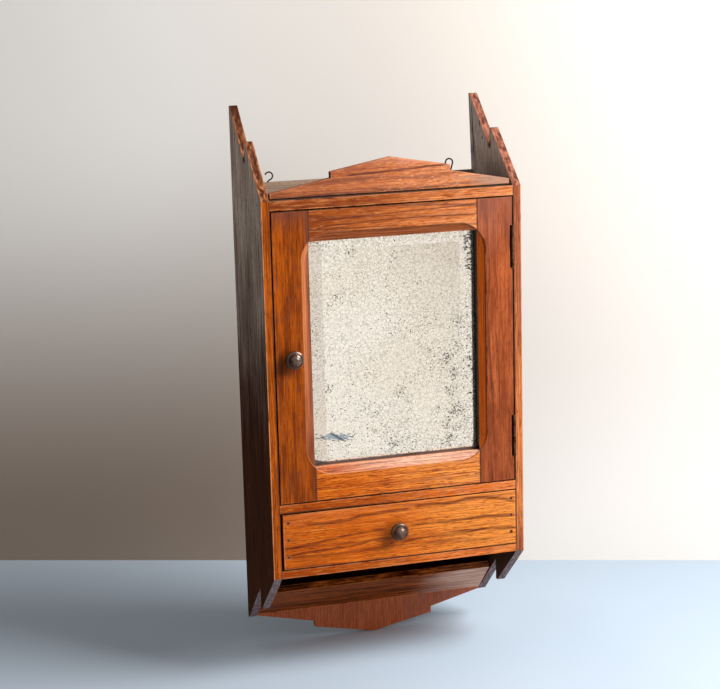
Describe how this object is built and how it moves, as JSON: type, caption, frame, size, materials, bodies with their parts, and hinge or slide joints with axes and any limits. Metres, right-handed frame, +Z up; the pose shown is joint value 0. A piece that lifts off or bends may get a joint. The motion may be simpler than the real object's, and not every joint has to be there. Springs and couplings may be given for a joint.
{
  "type": "mirrored wall cabinet",
  "caption": "Shallow wooden wall cupboard with a bevelled mirror door hinged on the right, a drawer under it, a sloping letter pocket below and two hanging hooks at the back.",
  "frame": {"origin": "on the back face, at the height of the underside of the board below the drawer, midway between the side boards", "axes": "+X to the right seen from the front, +Y out of the back face into the wall, +Z up"},
  "size_m": [0.31, 0.1586, 0.666],
  "materials": {
    "front_varnish": "worn orange-brown varnish, horizontal grain",
    "stile_varnish": "worn red-brown varnish, vertical grain",
    "side_wood": "weathered grey-brown wood with dark varnish",
    "inside_wood": "bare aged wood",
    "mirror_glass": "old silvering, crackled",
    "hinge_brass": "tarnished",
    "dark_iron": "blackened",
    "knob_bronze": "dark patina, polished by use"
  },
  "bodies": {
    "cabinet": {"side_board_left": "side_wood", "side_board_right": "side_wood", "top_board": "front_varnish", "middle_board": "front_varnish", "bottom_board": "front_varnish", "back_board": "side_wood", "crest_board": "front_varnish", "pocket_front": "side_wood", "shelf": "inside_wood", "shelf_cleat_left": "inside_wood", "shelf_cleat_right": "inside_wood", "door_stop": "inside_wood", "hook_left": "dark_iron", "hook_right": "dark_iron", "upper_hinge_case_leaf": "hinge_brass", "lower_hinge_case_leaf": "hinge_brass", "upper_hinge_pin": "hinge_brass", "lower_hinge_pin": "hinge_brass", "case_leaf_screws": "dark_iron", "side_nails_left": "dark_iron", "side_nails_right": "dark_iron", "back_nails": "dark_iron", "crest_screws": "dark_iron", "cleat_nails": "dark_iron", "stop_nails": "dark_iron"},
    "door": {"door_stile_left": "stile_varnish", "door_stile_right": "stile_varnish", "door_rail_top": "front_varnish", "door_rail_bottom": "front_varnish", "mirror_plate": "mirror_glass", "mirror_backing": "inside_wood", "backing_brads": "dark_iron", "door_knob": "knob_bronze", "door_knob_screw": "dark_iron", "upper_hinge_door_leaf": "hinge_brass", "lower_hinge_door_leaf": "hinge_brass", "door_leaf_screws": "dark_iron"},
    "drawer": {"drawer_front": "front_varnish", "drawer_side_left": "inside_wood", "drawer_side_right": "inside_wood", "drawer_back": "inside_wood", "drawer_bottom": "inside_wood", "drawer_knob": "knob_bronze", "drawer_knob_screw": "dark_iron", "drawer_front_nails": "dark_iron", "drawer_back_nails": "dark_iron", "drawer_bottom_nails": "dark_iron"}
  },
  "joints": [
    {"name": "door_hinge", "type": "hinge", "parent": "cabinet", "child": "door", "pos_m": [0.1445, -0.1403, 0.2571], "axis": [0, 0, 1], "range_deg": [0, 170]},
    {"name": "drawer_slide", "type": "slide", "parent": "cabinet", "child": "drawer", "axis": [0, -1, 0], "range_m": [0, 0.09]}
  ]
}
